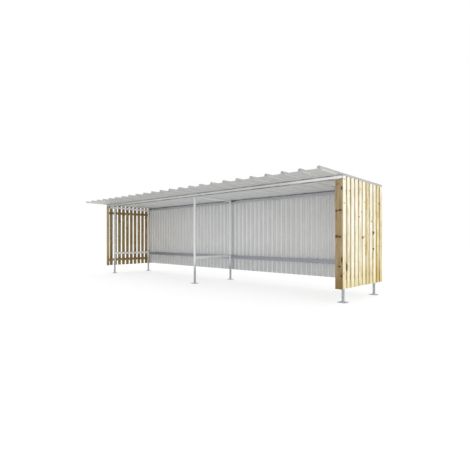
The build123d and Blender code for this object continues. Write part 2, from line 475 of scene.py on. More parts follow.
def fill_pine_figure(graph, given):
    """Growth rings along a board, bent round its knots, with fine fibres between them."""
    place = graph.stored("board_place", "Vector")
    across, through, along = graph.add("SeparateXYZ", {"Vector": place}).outputs
    plan = graph.add("CombineXYZ", {"X": across, "Y": along}).outputs[0]
    knot_scale = graph.math("DIVIDE", 1.0, given["Knot Spacing"])
    cells = graph.add("TexVoronoi", {"Vector": plan, "Scale": knot_scale}, voronoi_dimensions="2D")
    reach = graph.times(cells.outputs["Distance"], given["Knot Spacing"])
    luck = graph.spread(graph.first_part(cells.outputs["Color"]), *KNOT_LUCK)
    distance = graph.math("DIVIDE", reach, graph.times(given["Knot Radius"], luck))
    sway = graph.times(graph.run_noise(place, SWAY_SCALES), SWAY)
    bend = graph.times(graph.spread(distance, *BEND_EDGE, smooth=True), BEND)
    swayed = graph.math("ADD", graph.math("ADD", across, sway), bend)
    turn = graph.math("DIVIDE", swayed, given["Ring Width"])
    depth_turn = graph.math("DIVIDE", through, graph.times(given["Ring Width"], RING_DEPTH))
    wave = graph.math("SINE", graph.times(graph.math("ADD", turn, depth_turn), 2 * math.pi))
    banding = graph.spread(graph.run_noise(place, BAND_SCALES), *BANDING)
    blotches = graph.spread(graph.run_noise(place, BLOTCH_SCALES, detail=3.0), *BLOTCHES)
    return {
        "Rings": graph.spread(wave, *RING_EDGE, smooth=True),
        "Knot": graph.spread(distance, *KNOT_EDGE, smooth=True),
        "Halo": graph.spread(distance, *HALO_EDGE, smooth=True),
        "Fibre": graph.run_noise(place, FIBRE_SCALES),
        "Warmth": graph.math("ADD", banding, blotches),
    }


def pine_figure():
    """The pine group, shared by the slats, the front boards and the rails."""
    inputs = {"Ring Width": "Float", "Knot Spacing": "Float", "Knot Radius": "Float"}
    outputs = ("Rings", "Knot", "Halo", "Fibre", "Warmth")
    return shared_group("pine_figure", inputs, outputs, fill_pine_figure)


def new_material(name):
    """An empty node material with its Principled shader."""
    material = bpy.data.materials.new(name)
    material.use_nodes = True
    return material, Graph(material.node_tree), material.node_tree.nodes["Principled BSDF"]


def use_group(graph, tree, values):
    """Place a shared group in a material with its own values."""
    return graph.add("Group", values, node_tree=tree).outputs


# Bump that the zinc flakes make
FLAKE_RELIEF = {"Strength": 0.08, "Distance": 0.0006}


def zinc_material(
    name, colours, flake, streaks, metallic, sheen=TUBE_SHEEN, splash=FAINT_SPLASH, accents=()
):
    """Galvanised steel with flakes, streaks and dried splash near the ground.

    Colours are the bright and the dull flakes' own. An accent is a mask, the colour that its bright flakes
    have and the share of it that its dull ones keep.
    """
    bright, dull = colours
    reach, share = splash
    material, graph, shader = new_material(name)
    flakes = use_group(graph, zinc_flakes(), {"Flake Size": flake, "Streak Scale": streaks})
    dried = use_group(graph, ground_splash(), {"Reach": reach})
    zinc = graph.mix(flakes["Tone"], dull, bright)
    for mask, accent, kept in accents:
        faded = [kept * value for value in accent]
        zinc = graph.mix(mask(graph), zinc, graph.mix(flakes["Tone"], faded, accent))
    foot_dull = bpy.context.scene.shelter_zinc.foot_dull
    dirty = graph.mix(graph.times(dried["Mask"], share), zinc, foot_dull)
    graph.feed(shader.inputs["Base Color"], dirty)
    roughness = graph.spread(flakes["Dullness"], 1 - DULLNESS_RANGE, 1.0, *sheen)
    graph.feed(shader.inputs["Roughness"], roughness)
    shader.inputs["Metallic"].default_value = metallic
    graph.relief(shader, FLAKE_RELIEF, flakes["Relief"])
    return material


def fixing_zinc():
    """Bright zinc of screws and bolts, made once."""
    zinc = bpy.context.scene.shelter_zinc
    tube = (zinc.tube_bright, zinc.tube_dull)
    return bpy.data.materials.get("fixing_zinc") or zinc_material(
        "fixing_zinc", tube, FIXING_FLAKE, FIXING_RUNS, metallic=0.8, sheen=FIXING_SHEEN
    )


def nail_zinc():
    """Dull zinc of the nail heads."""
    grey = bpy.context.scene.shelter_zinc.nail_grey
    colours = (grey, [NAIL_FADE * value for value in grey])
    return zinc_material("nail_zinc", colours, FIXING_FLAKE, FIXING_RUNS, metallic=0.4, sheen=NAIL_SHEEN)


def top_faces(graph):
    """Mask of what looks up."""
    return graph.math("GREATER_THAN", graph.facing_parts()["Z"], FACING)


def under_faces(graph):
    """Mask of what looks down."""
    return graph.math("LESS_THAN", graph.facing_parts()["Z"], -FACING)


def rear_faces(graph):
    """Mask of what looks to the rear."""
    return graph.math("GREATER_THAN", graph.facing_parts()["Y"], FACING)


def painted_light_faces(graph):
    """Mask of what looks down behind the front beam, which painted light lightens."""
    low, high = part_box("front_beam")
    behind = graph.spread(graph.place_parts()["Y"], low.y, high.y, smooth=True)
    return graph.times(behind, under_faces(graph))


def rib_insides(graph):
    """Mask of the inner faces of the roof's ribs, back from their open front ends, which painted light
    lightens.
    """
    place = graph.place_parts()
    level = graph.math("ADD", place["Z"], graph.times(place["Y"], ROOF_SLOPE))
    raised = graph.math("GREATER_THAN", level, crown_height(0) - RIB_RISE)
    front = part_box("roof_sheet_1")[0].y
    # The painted light starts a little behind the ribs' open front ends
    clean = graph.spread(place["Y"], *(front + depth for depth in RIB_MOUTH), smooth=True)
    return graph.times(graph.times(raised, under_faces(graph)), clean)


def left_reach(graph):
    """Mask that grows from the middle of the shelter to its left end, slowly at first."""
    share = graph.spread(graph.place_parts()["X"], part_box("front_beam")[0].x, 0.0, 1.0, 0.0)
    return graph.math("POWER", share, LEFT_POWER)


def shaded_beam_run(graph):
    """Mask of painted shade over the front beam, up to its bright right end."""
    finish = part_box("front_beam")[1].x
    fade, bright = (share * finish for share in BRIGHT_END_SHARES)
    return graph.spread(graph.place_parts()["X"], fade, bright, 1.0, 0.0, smooth=True)


def flute_sides(graph):
    """Mask of the slanted sides of the back's flutes, which painted light lightens less and less toward
    the left end.
    """
    slanted = graph.math("GREATER_THAN", graph.math("ABSOLUTE", graph.facing_parts()["X"]), SLANTED)
    painted_share = graph.math("SUBTRACT", 1.0, graph.times(left_reach(graph), FLUTE_FADE), clamp=True)
    return graph.times(slanted, painted_share)


def shaded_tube_edges(node, reach, both=True):
    """Mask of an uneven strip of painted shade along a lengthwise tube's top edge, and its bottom edge
    too.
    """
    low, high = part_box(node)

    def mask(graph):
        height = graph.place_parts()["Z"]
        distance = graph.math("SUBTRACT", high.z, height)
        if both:
            distance = graph.math("MINIMUM", distance, graph.math("SUBTRACT", height, low.z))
        strip = graph.spread(distance, 0.0, reach, 1.0, 0.0, smooth=True)
        patches = graph.noise(graph.place(), EDGE_PATCH_SCALE, detail=4.0)
        return graph.times(strip, graph.spread(patches, *EDGE_PATCHES))

    return mask


def shaded_beam_joints(graph):
    """Mask of painted shade on the rear beam's upper half, where the frames meet it."""
    low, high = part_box("rear_beam")
    place = graph.place_parts()
    nearest = high.x - low.x
    for name in FRAMES:
        away = graph.math("SUBTRACT", place["X"], centre(f"post_rear_{name}").x)
        nearest = graph.math("MINIMUM", graph.math("ABSOLUTE", away), nearest)
    middle = centre("rear_beam").z
    upper = graph.spread(place["Z"], *(middle + rise for rise in JOINT_SHADE_RISE), smooth=True)
    return graph.times(upper, graph.spread(nearest, *JOINT_SHADE, smooth=True))


# Pine finish: distances from a large knot in its radii, and heights in metres
RAGGED_SCALE = 90.0
RAGGED = (0.3, 0.7, -0.35, 0.45)
NO_KNOT = 9.0
LARGE_HALO = (1.0, 2.6, 0.6, 0.0)
LARGE_HEART = (0.9, 1.5, 0.95, 0.0)
SMALL_HALO_SHARE = 0.55
SMALL_KNOT_SHARE = 0.92
RING_SHARE = 0.28
FIBRE_SHADES = (0.3, 0.7, 0.90, 1.06)
BLEACHED_RISE = (1.1, 2.1)
STAINED_RISE = (0.25, 1.05, 1.0, 0.0)
STAIN_POWER = 2.0
STAIN_SCALE = 6.0
STAIN_PATCHES = (0.3, 0.7, 0.6, 1.4)
PINE_ROUGHNESS = (0.62, 0.5)
PINE_SPECULAR = 0.35
RING_RELIEF = 0.5
GRAIN_RELIEF = {"Strength": 0.35, "Distance": 0.0007}


def placed_knots(graph, place, knots):
    """Distance to the nearest large knot, in its radii.

    Each knot is given by its place across and along the board, its radius and its stretch across.
    """
    parts = graph.add("SeparateXYZ", {"Vector": place}).outputs
    plan = graph.add("CombineXYZ", {"X": parts["X"], "Y": parts["Z"]}).outputs[0]
    nearest = NO_KNOT
    for across, along, radius, stretch in knots:
        offset = graph.vector("SUBTRACT", plan, (across, along, 0))
        scaled = graph.vector("MULTIPLY", offset, (1 / (radius * stretch), 1 / radius, 0))
        nearest = graph.math("MINIMUM", graph.vector("LENGTH", scaled, (0, 0, 0)), nearest)
    ragged = graph.spread(graph.noise(place, RAGGED_SCALE, detail=2.0), *RAGGED)
    return graph.math("ADD", nearest, ragged)


def pine_material(name, ring_width, knot_spacing, knot_radius, darkening, knots=(), paling=0.0, foot=None):
    """Planed pine with a tint for each board, paler at the head, stained at the foot, and darker on sawn
    ends and on faces marked for painted shade.
    """
    timber = bpy.context.scene.shelter_timber
    material, graph, shader = new_material(name)
    values = {"Ring Width": ring_width, "Knot Spacing": knot_spacing, "Knot Radius": knot_radius}
    figure = use_group(graph, pine_figure(), values)
    reach, splash_share = BOARD_SPLASH
    splash = use_group(graph, ground_splash(), {"Reach": reach})
    place = graph.stored("board_place", "Vector")
    height = graph.place_parts()["Z"]
    paler = graph.spread(height, *BLEACHED_RISE, 0.0, paling)
    bleached = graph.math("SUBTRACT", graph.stored("board_tint"), paler)
    warm = graph.math("ADD", bleached, figure["Warmth"], clamp=True)
    pine = graph.mix(warm, timber.sapwood, timber.heartwood)
    pine = graph.mix(graph.times(figure["Rings"], RING_SHARE), pine, timber.late_ring)
    fibre = graph.spread(figure["Fibre"], *FIBRE_SHADES)
    fibre_grey = graph.add("CombineColor", {"Red": fibre, "Green": fibre, "Blue": fibre}).outputs[0]
    pine = graph.mix(1.0, pine, fibre_grey, "MULTIPLY")
    pine = graph.mix(graph.times(figure["Halo"], SMALL_HALO_SHARE), pine, timber.small_halo)
    pine = graph.mix(graph.times(figure["Knot"], SMALL_KNOT_SHARE), pine, timber.knot)
    if knots:
        distance = placed_knots(graph, place, knots)
        pine = graph.mix(graph.spread(distance, *LARGE_HALO, smooth=True), pine, timber.large_halo)
        pine = graph.mix(graph.spread(distance, *LARGE_HEART, smooth=True), pine, timber.knot)
    # Sawn ends darken here, and so do the slats' inner faces and narrow edges, as painted shade
    pine = graph.mix(graph.stored("board_sawn_shade"), pine, timber.sawn_shade, "MULTIPLY")
    pine = graph.mix(graph.times(splash["Mask"], splash_share), pine, timber.splash)
    if foot is not None:
        rise = graph.math("POWER", graph.spread(height, *STAINED_RISE), STAIN_POWER)
        patches = graph.spread(graph.noise(place, STAIN_SCALE), *STAIN_PATCHES)
        pine = graph.mix(graph.times(rise, patches, clamp=True), pine, foot, "MULTIPLY")
    # Darkening toward the darker pine: painted shade on the front boards
    graph.feed(shader.inputs["Base Color"], graph.mix(darkening, pine, timber.darker_pine, "MULTIPLY"))
    graph.feed(shader.inputs["Roughness"], graph.spread(figure["Rings"], 0.0, 1.0, *PINE_ROUGHNESS))
    shader.inputs["Specular IOR Level"].default_value = PINE_SPECULAR
    grain = graph.math("ADD", graph.times(figure["Rings"], RING_RELIEF), figure["Fibre"])
    graph.relief(shader, GRAIN_RELIEF, grain)
    return material


def finish_node(name, material):
    """Give a CAD node its finish."""
    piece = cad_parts[name]
    if not piece.material_slots:
        piece.data.materials.append(None)
    for holder in piece.material_slots:
        holder.material = material


# Mesh helpers


class Solids:
    """Closed shapes gathered into one mesh."""

    def __init__(self):
        self.points = []
        self.faces = []

    def loft(self, rings, closed=False):
        """Skin over rings of points, capped at both ends or joined into a loop."""
        first = len(self.points)
        size = len(rings[0])
        for ring in rings:
            self.points.extend(ring)
        count = len(rings)
        for step in range(count if closed else count - 1):
            here = first + step * size
            there = first + (step + 1) % count * size
            for index in range(size):
                turn = (index + 1) % size
                self.faces.append((here + index, here + turn, there + turn, there + index))
        if not closed:
            last = first + (count - 1) * size
            self.faces.append(tuple(reversed(range(first, first + size))))
            self.faces.append(tuple(range(last, last + size)))

    def turned(self, place, axis, radius, outline, sides, spin=0.0):
        """A faceted head about an axis, from an outline of radius shares and heights."""
        axis = Vector(axis).normalized()
        side = axis.orthogonal().normalized()
        other = axis.cross(side)
        rings = []
        for share, height in outline:
            ring = []
            for index in range(sides):
                angle = spin + 2 * math.pi * index / sides
                reach = side * math.cos(angle) + other * math.sin(angle)
                ring.append(Vector(place) + reach * radius * share + axis * height)
            rings.append(ring)
        self.loft(rings)

    def object(self, name, material, slot):
        """The gathered mesh as a piece that rides with the shelter."""
        mesh = bpy.data.meshes.new(name)
        mesh.from_pydata([tuple(point) for point in self.points], [], self.faces)
        mesh.validate()
        mesh.materials.append(material)
        piece = bpy.data.objects.new(name, mesh)
        bpy.context.scene.collection.objects.link(piece)
        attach(piece, "root")
        return piece


class Boards(Solids):
    """Planed boards gathered into one mesh, each with its own place in the grain and its own tint."""

    corner_steps = 3
    stations = 15
    grain_shift = 9.0
    flat_share = 0.1

    def __init__(self, arris, seed):
        super().__init__()
        self.arris = arris
        self.draw = random.Random(seed)
        self.places = []
        self.tints = []
        self.sawn_shade = []

    def outline(self, low, high):
        """Corner-rounded outline of a section, anticlockwise."""
        centres = (
            (high[0] - self.arris, high[1] - self.arris),
            (low[0] + self.arris, high[1] - self.arris),
            (low[0] + self.arris, low[1] + self.arris),
            (high[0] - self.arris, low[1] + self.arris),
        )
        points = []
        for quarter, (u, v) in enumerate(centres):
            for step in range(self.corner_steps):
                angle = math.pi / 2 * (quarter + step / (self.corner_steps - 1))
                points.append((u + self.arris * math.cos(angle), v + self.arris * math.sin(angle)))
        return points

    def add(self, low, high, run, tint, bow=0.0, top=None, sawn_shade_side=0, sawn_shade_edges=0.0, shift=None):
        """One board between two corners, with its grain along an axis and its head cut to a height."""
        u_axis, v_axis = [axis for axis in range(3) if axis != run]
        section = self.outline((low[u_axis], low[v_axis]), (high[u_axis], high[v_axis]))
        thin = u_axis if high[u_axis] - low[u_axis] < high[v_axis] - low[v_axis] else v_axis
        wide = v_axis if thin == u_axis else u_axis
        origin = ((low[wide] + high[wide]) / 2, low[thin], 0)
        shift = shift or [self.draw.uniform(-self.grain_shift, self.grain_shift) for _ in range(3)]
        lean = self.draw.uniform(-bow, bow)
        rings = []
        for station in range(self.stations):
            share = station / (self.stations - 1)
            ring = []
            for u, v in section:
                point = Vector((0, 0, 0))
                point[u_axis] = u
                point[v_axis] = v
                head = top(point) if top else high[run]
                point[run] = low[run] + share * (head - low[run])
                place = (point[wide], point[thin], point[run])
                self.places.append([at - zero + move for at, zero, move in zip(place, origin, shift)])
                self.tints.append(tint)
                point[thin] += lean * math.sin(math.pi * share)
                ring.append(point)
            rings.append(ring)
        first = len(self.faces)
        self.loft(rings)
        # Ends are marked sawn; the marked side and the narrow edges are marked too, for painted shade
        middle = (low[thin] + high[thin]) / 2
        for face in self.faces[first:]:
            end = len(face) == len(section)
            inner = all((self.points[index][thin] - middle) * sawn_shade_side > 0 for index in face)
            reach = [self.points[index][wide] for index in face]
            edge = max(reach) - min(reach) < self.arris * self.flat_share
            self.sawn_shade.append(max(end, inner, sawn_shade_edges * edge))

    def object(self, name, material, slot):
        """The boards as one piece, with their grain places, tints and faces marked for sawn colour and
        painted shade stored on the mesh.
        """
        piece = super().object(name, material, slot)
        mesh = piece.data
        place = mesh.attributes.new("board_place", "FLOAT_VECTOR", "POINT")
        place.data.foreach_set("vector", [number for point in self.places for number in point])
        tint = mesh.attributes.new("board_tint", "FLOAT", "POINT")
        tint.data.foreach_set("value", self.tints)
        sawn_shade = mesh.attributes.new("board_sawn_shade", "FLOAT", "FACE")
        sawn_shade.data.foreach_set("value", self.sawn_shade)
        return piece


def add_screw(solids, place, axis, index):
    """A sheeting screw: a domed washer under a flanged hex head."""
    fixings = bpy.context.scene.shelter_fixings
    solids.turned(place, axis, fixings.washer_radius, SCREW_WASHER, SCREW_SIDES)
    solids.turned(place, axis, fixings.screw_radius, SCREW_FLANGE, SCREW_SIDES)
    solids.turned(place, axis, fixings.screw_radius, SCREW_HEAD, HEXAGON, SCREW_TURN * index)


def add_nut(solids, place, axis):
    """A bolt's end: washer, hex nut and the tip of the thread."""
    radius = bpy.context.scene.shelter_fixings.nut_radius
    solids.turned(place, axis, radius, NUT_WASHER, NUT_WASHER_SIDES)
    solids.turned(place, axis, radius, NUT, HEXAGON)
    solids.turned(place, axis, radius, THREAD, THREAD_SIDES)


def add_nail(solids, place, axis):
    """A nail's head, slightly domed."""
    fixings = bpy.context.scene.shelter_fixings
    radius = fixings.nail_radius
    rise = fixings.nail_height
    head = ((1, -radius), (1, rise * NAIL_RIM_SHARE), (NAIL_CROWN_SHARE, rise))
    solids.turned(place, axis, radius, head, NAIL_SIDES)


def centre(node):
    """Middle of a node's box."""
    low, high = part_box(node)
    return (low + high) / 2


def sheet_names(kind):
    """Names of the roof's or the back's sheets, in order."""
    return sorted(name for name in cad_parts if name.startswith(f"{kind}_sheet_"))


def solid_spans(node, axis):
    """Start and finish of each upright solid of a node along an axis, in order."""
    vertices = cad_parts[node].data.vertices
    values = sorted({round(vertex.co[axis], SPAN_DIGITS) for vertex in vertices})
    return list(zip(values[::2], values[1::2]))


def crown_height(y):
    """Height of the top of the roof's ribs at a depth."""
    low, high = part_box("roof_sheet_1")
    return high.z - (y - low.y) * ROOF_SLOPE


def even_places(start, finish, count):
    """Evenly spaced places from one to another."""
    return [start + (finish - start) * index / (count - 1) for index in range(count)]


# Operators, one for each group of like pieces


class SHELTER_OT_slats(bpy.types.Operator):
    """Board the two end walls with upright pine slats"""

    bl_idname = "shelter.slats"
    bl_label = "End wall slats"

    first_seed = 11
    # Share of the sawn colour on the slats' narrow edges, painted shade in the gaps between slats
    sawn_shade_edges = 0.36

    tint_shares = {
        "right": (0.12, 0.33, 0.18, 0.0, 0.33, 0.0, 0.60, 0.23, 0.21, 0.74, 0.60),
        "left": (0.70, 0.54, 0.76, 0.50, 0.62, 0.74, 0.57, 0.53, 0.70, 0.78, 0.58),
    }

    # Slat, place across it, height, radius and stretch of each large knot
    knots = {
        "left": (
            (0, 0.036, 1.98, 0.016, 1.0),
            (0, 0.038, 1.52, 0.018, 1.0),
            (1, -0.030, 1.74, 0.014, 1.2),
            (2, 0.034, 1.66, 0.018, 1.0),
            (2, -0.026, 1.18, 0.014, 1.2),
            (3, 0.036, 1.88, 0.016, 1.0),
            (4, -0.034, 1.46, 0.018, 1.0),
            (5, 0.030, 1.72, 0.015, 1.1),
            (6, -0.020, 1.94, 0.014, 1.2),
            (8, 0.028, 1.56, 0.016, 1.0),
            (9, -0.034, 1.82, 0.017, 1.0),
        ),
        "right": (
            (1, -0.047, 0.62, 0.045, 0.09),
            (4, 0.040, 1.597, 0.010, 1.0),
            (5, -0.042, 1.131, 0.012, 1.0),
            (5, 0.040, 0.827, 0.009, 1.0),
            (7, 0.015, 1.434, 0.010, 1.2),
            (8, -0.038, 1.228, 0.017, 1.1),
            (8, -0.042, 0.912, 0.012, 1.0),
            (9, 0.035, 1.795, 0.013, 1.0),
        ),
    }

    def pine(self, end, foot):
        """Pale pine of a wall, with each slat's knots at that slat's place in the grain."""
        return pine_material(
            f"slat_pine_{end}",
            ring_width=0.0075,
            knot_spacing=0.21,
            knot_radius=0.009,
            darkening=0.0,
            knots=[(slat + across, *rest) for slat, across, *rest in self.knots[end]],
            paling=0.22,
            foot=foot,
        )

    def execute(self, context):
        timber = context.scene.shelter_timber
        for seed, (end, side) in enumerate(ENDS.items(), start=self.first_seed):
            node = f"side_slats_{end}"
            low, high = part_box(node)
            spans = solid_spans(node, Y_AXIS)
            tints = self.tint_shares[end]
            if len(spans) != len(tints):
                raise RuntimeError(f"{node} has {len(spans)} slats and {len(tints)} tints")
            boards = Boards(timber.arris, seed)

            def head(point, low=low, high=high):
                return high.z - (point.y - low.y) * ROOF_SLOPE

            for slat, ((start, finish), tint) in enumerate(zip(spans, tints)):
                foot = low.z + boards.draw.uniform(0, timber.saw_scatter)
                boards.add(
                    (low.x + timber.planing, start, foot),
                    (high.x - timber.planing, finish, high.z),
                    Z_AXIS,
                    tint,
                    bow=timber.planing,
                    top=head,
                    sawn_shade_side=-side,
                    sawn_shade_edges=self.sawn_shade_edges,
                    shift=(slat, 0, 0),
                )
            pine = self.pine(end, timber.slat_foot)
            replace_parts(boards.object(f"slats_{end}", pine, "pine_slat"), node)
        return {"FINISHED"}


class SHELTER_OT_front_boards(bpy.types.Operator):
    """Stand a pine board at each front corner"""

    bl_idname = "shelter.front_boards"
    bl_label = "Front corner boards"

    first_seed = 31
    tint_share = 0.49

    # Place across the board, height, radius and stretch of each large knot
    knots = {
        "left": (
            (-0.02, 1.93, 0.009, 1.4),
            (0.034, 1.52, 0.011, 1.5),
            (-0.03, 1.13, 0.010, 1.3),
            (0.016, 0.86, 0.008, 1.4),
            (-0.04, 0.52, 0.011, 1.5),
        ),
        "right": (
            (-0.010, 2.036, 0.007, 1.5),
            (0.058, 1.96, 0.020, 0.6),
            (-0.044, 1.583, 0.012, 1.5),
            (0.000, 1.588, 0.004, 9.0),
            (0.028, 1.592, 0.013, 1.6),
            (-0.048, 1.149, 0.019, 1.5),
            (0.018, 1.143, 0.013, 1.6),
            (0.060, 0.75, 0.035, 0.3),
            (0.016, 0.64, 0.010, 1.6),
            (0.056, 0.48, 0.012, 1.2),
        ),
    }

    def pine(self, end, foot):
        """Pine of a corner board, darkened all over as painted shade, and darkest at its stained foot."""
        return pine_material(
            f"front_pine_{end}",
            ring_width=0.008,
            knot_spacing=0.4,
            knot_radius=0.006,
            darkening=0.75,
            knots=self.knots[end],
            foot=foot,
        )

    def execute(self, context):
        timber = context.scene.shelter_timber
        for seed, end in enumerate(ENDS, start=self.first_seed):
            node = f"front_board_{end}"
            low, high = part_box(node)
            boards = Boards(timber.arris, seed)
            boards.add(low, high, Z_AXIS, self.tint_share, shift=(0, 0, 0))
            pine = self.pine(end, timber.front_foot)
            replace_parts(boards.object(f"corner_board_{end}", pine, "pine_slat"), node)
        return {"FINISHED"}


class SHELTER_OT_side_rails(bpy.types.Operator):
    """Lay the pine rails that carry the slats"""

    bl_idname = "shelter.side_rails"
    bl_label = "Side rails"

    first_seed = 51
    tint_share = 0.82

    def execute(self, context):
        timber = context.scene.shelter_timber
        pine = pine_material(
            "rail_pine", ring_width=0.009, knot_spacing=0.24, knot_radius=0.014, darkening=0.72
        )
        for seed, end in enumerate(ENDS, start=self.first_seed):
            nodes = [f"side_rail_{level}_{end}" for level in RAIL_LEVELS]
            boards = Boards(timber.arris, seed)
            for node in nodes:
                low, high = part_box(node)
                boards.add(low, high, Y_AXIS, self.tint_share)
            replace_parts(boards.object(f"rails_{end}", pine, "pine_rail"), *nodes)
        return {"FINISHED"}


class SHELTER_OT_steel_frame(bpy.types.Operator):
    """Galvanise the foot plates, posts, rafters, ties, beams and rail"""

    bl_idname = "shelter.steel_frame"
    bl_label = "Steel frame"

    def execute(self, context):
        zinc = context.scene.shelter_zinc
        flake = zinc.tube_flake
        tube = (zinc.tube_bright, zinc.tube_dull)
        clean = (zinc.tube_bright, zinc.tube_bright)
        rail = (zinc.rail_bright, zinc.rail_dull)
        eave = (zinc.rear_beam_bright, zinc.rear_beam_dull)
        # The front beam takes painted shade over all but its right end, darkest toward its left end, and
        # along its edges
        front_accents = (
            (shaded_beam_run, zinc.beam_painted_shade, EVEN),
            (left_reach, zinc.end_painted_shade, EVEN),
            (shaded_tube_edges("front_beam", FRONT_EDGE_SHADE), zinc.edge_shade, EVEN),
        )
        # The rear beam takes painted shade along its top edge and where the frames meet it
        rear_accents = (
            (shaded_tube_edges("rear_beam", REAR_EDGE_SHADE, both=False), zinc.edge_shade, EVEN),
            (shaded_beam_joints, zinc.edge_shade, EVEN),
        )
        post = zinc_material("post_zinc", tube, flake, UPRIGHT, metallic=0.15, splash=POST_SPLASH)
        tie = zinc_material("tie_zinc", tube, flake, CROSSWISE, metallic=0.3)
        rafter = zinc_material("rafter_zinc", clean, flake, CROSSWISE, metallic=0.0)
        front = zinc_material("beam_zinc", clean, flake, LENGTHWISE, metallic=0.0, accents=front_accents)
        rear = zinc_material("rear_beam_zinc", eave, flake, LENGTHWISE, metallic=0.4, accents=rear_accents)
        low_rail = zinc_material("rear_rail_zinc", rail, flake, LENGTHWISE, metallic=0.6)
        for name in FRAMES:
            for row in ROWS:
                finish_node(f"base_plate_{row}_{name}", post)
                finish_node(f"post_{row}_{name}", post)
            finish_node(f"rafter_{name}", rafter)
            finish_node(f"tie_rail_{name}", tie)
        finish_node("front_beam", front)
        finish_node("rear_beam", rear)
        finish_node("rear_rail", low_rail)
        return {"FINISHED"}


class SHELTER_OT_welds(bpy.types.Operator):
    """Run fillet welds round the feet of the posts and at the tube joints"""

    bl_idname = "shelter.welds"
    bl_label = "Welds"

    ripple = 0.0032
    ripple_share = 0.16
    root_share = 0.2
    throat_share = 0.55
    side_steps = 14
    corner_steps = 3
    corner = 0.004

    def bead_section(self, wall, out, up, leg, run):
        """Four corners of a fillet against a wall, standing on a plate, at a place along its run."""
        leg *= 1 + self.ripple_share * math.sin(2 * math.pi * run / self.ripple)
        root = wall - out * leg * self.root_share
        return [root, wall + out * leg, wall + (out + up) * leg * self.throat_share, root + up * leg]

    def foot_ring(self, solids, middle, half, leg):
        """Bead round a square post on its plate."""
        straight = half - self.corner
        path = []
        for quarter in range(4):
            facing = quarter * math.pi / 2
            out = Vector((math.cos(facing), math.sin(facing), 0))
            along = Vector((-out.y, out.x, 0))
            for step in range(self.side_steps + 1):
                path.append((out * half + along * straight * (2 * step / self.side_steps - 1), out))
            for step in range(1, self.corner_steps):
                angle = facing + math.pi / 2 * step / self.corner_steps
                bent = Vector((math.cos(angle), math.sin(angle), 0))
                path.append(((out + along) * straight + bent * self.corner, bent))
        rings = []
        run = 0.0
        for index, (place, out) in enumerate(path):
            run += (place - path[index - 1][0]).length if index else 0.0
            rings.append(self.bead_section(middle + place, out, UP, leg, run))
        solids.loft(rings, closed=True)

    def straight_bead(self, solids, middle, half, out, up, leg):
        """Bead across the width of a tube, along X."""
        rings = []
        for step in range(2 * self.side_steps + 1):
            reach = half * (step / self.side_steps - 1)
            rings.append(self.bead_section(middle + Vector((reach, 0, 0)), out, up, leg, reach))
        solids.loft(rings)

    def execute(self, context):
        zinc = context.scene.shelter_zinc
        leg = context.scene.shelter_fixings.weld_leg
        weld = zinc_material(
            "weld_zinc",
            (zinc.tube_bright, zinc.tube_dull),
            zinc.tube_flake,
            WELD_RUNS,
            metallic=0.5,
            sheen=WELD_SHEEN,
            splash=POST_SPLASH,
        )
        rear_way = Vector((0, 1, 0))
        beads = Solids()
        for name in FRAMES:
            tie_low, tie_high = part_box(f"tie_rail_{name}")
            for row in ROWS:
                low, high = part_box(f"post_{row}_{name}")
                middle = (low + high) / 2
                half = (high.x - low.x) / 2
                self.foot_ring(beads, Vector((middle.x, middle.y, low.z)), half, leg)
                for out, y in ((-rear_way, low.y), (rear_way, high.y)):
                    wall = Vector((middle.x, y, high.z - (y - low.y) * ROOF_SLOPE))
                    self.straight_bead(beads, wall, half - leg, out, -UP, leg)
                out, y = (rear_way, high.y) if row == "front" else (-rear_way, low.y)
                for up, z in ((UP, tie_high.z), (-UP, tie_low.z)):
                    self.straight_bead(beads, Vector((middle.x, y, z)), half - leg, out, up, leg)
        beads.object("welds", weld, "galvanised_tube")
        return {"FINISHED"}


class SHELTER_OT_roof(bpy.types.Operator):
    """Finish the roof sheets and screw their ribs to the beams"""

    bl_idname = "shelter.roof"
    bl_label = "Roof sheets"

    def execute(self, context):
        zinc = context.scene.shelter_zinc
        # Painted light lightens the underside behind the front beam and the insides of the ribs
        accents = (
            (top_faces, zinc.rain_dulled, MOTTLED),
            (painted_light_faces, zinc.inner_painted_light, EVEN),
            (rib_insides, zinc.side_painted_light, EVEN),
        )
        finish = zinc_material(
            "roof_zinc",
            (zinc.roof_bright, zinc.roof_dull),
            zinc.sheet_flake,
            ROOF_RUNS,
            metallic=0.3,
            sheen=ROOF_SHEEN,
            accents=accents,
        )
        sheets = sheet_names("roof")
        for name in sheets:
            finish_node(name, finish)
        start = min(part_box(name)[0].x for name in sheets) + RIB_EDGE
        screws = Solids()
        for beam in ("front_beam", "rear_beam"):
            y = centre(beam).y
            for index, x in enumerate(even_places(start, -start, RIB_COUNT)):
                add_screw(screws, (x, y, crown_height(y)), ROOF_NORMAL, index)
        screws.object("roof_screws", fixing_zinc(), "galvanised_tube")
        return {"FINISHED"}


class SHELTER_OT_back(bpy.types.Operator):
    """Finish the back sheets and screw them to the rear beam and rail"""

    bl_idname = "shelter.back"
    bl_label = "Back sheets"

    screwed_pan_step = 2

    def execute(self, context):
        zinc = context.scene.shelter_zinc
        # Painted light lightens the left end of the back and the sides of its flutes
        accents = (
            (left_reach, zinc.inner_painted_light, EVEN),
            (flute_sides, zinc.side_painted_light, EVEN),
            (rear_faces, zinc.rain_dulled, MOTTLED),
        )
        finish = zinc_material(
            "back_zinc",
            (zinc.back_bright, zinc.back_dull),
            zinc.sheet_flake,
            BACK_RUNS,
            metallic=0.3,
            sheen=BACK_SHEEN,
            splash=BACK_SPLASH,
            accents=accents,
        )
        sheets = sheet_names("back")
        for name in sheets:
            finish_node(name, finish)
        start = min(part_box(name)[0].x for name in sheets) + FLUTE_EDGE
        flutes = even_places(start, -start, FLUTE_COUNT)
        pans = [(near + far) / 2 for near, far in zip(flutes, flutes[1:])]
        screws = Solids()
        for beam in ("rear_beam", "rear_rail"):
            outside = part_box(beam)[1].y + BACK_GAUGE
            for index, x in enumerate(pans[:: self.screwed_pan_step]):
                add_screw(screws, (x, outside, centre(beam).z), (0, 1, 0), index)
        screws.object("back_screws", fixing_zinc(), "galvanised_tube")
        return {"FINISHED"}


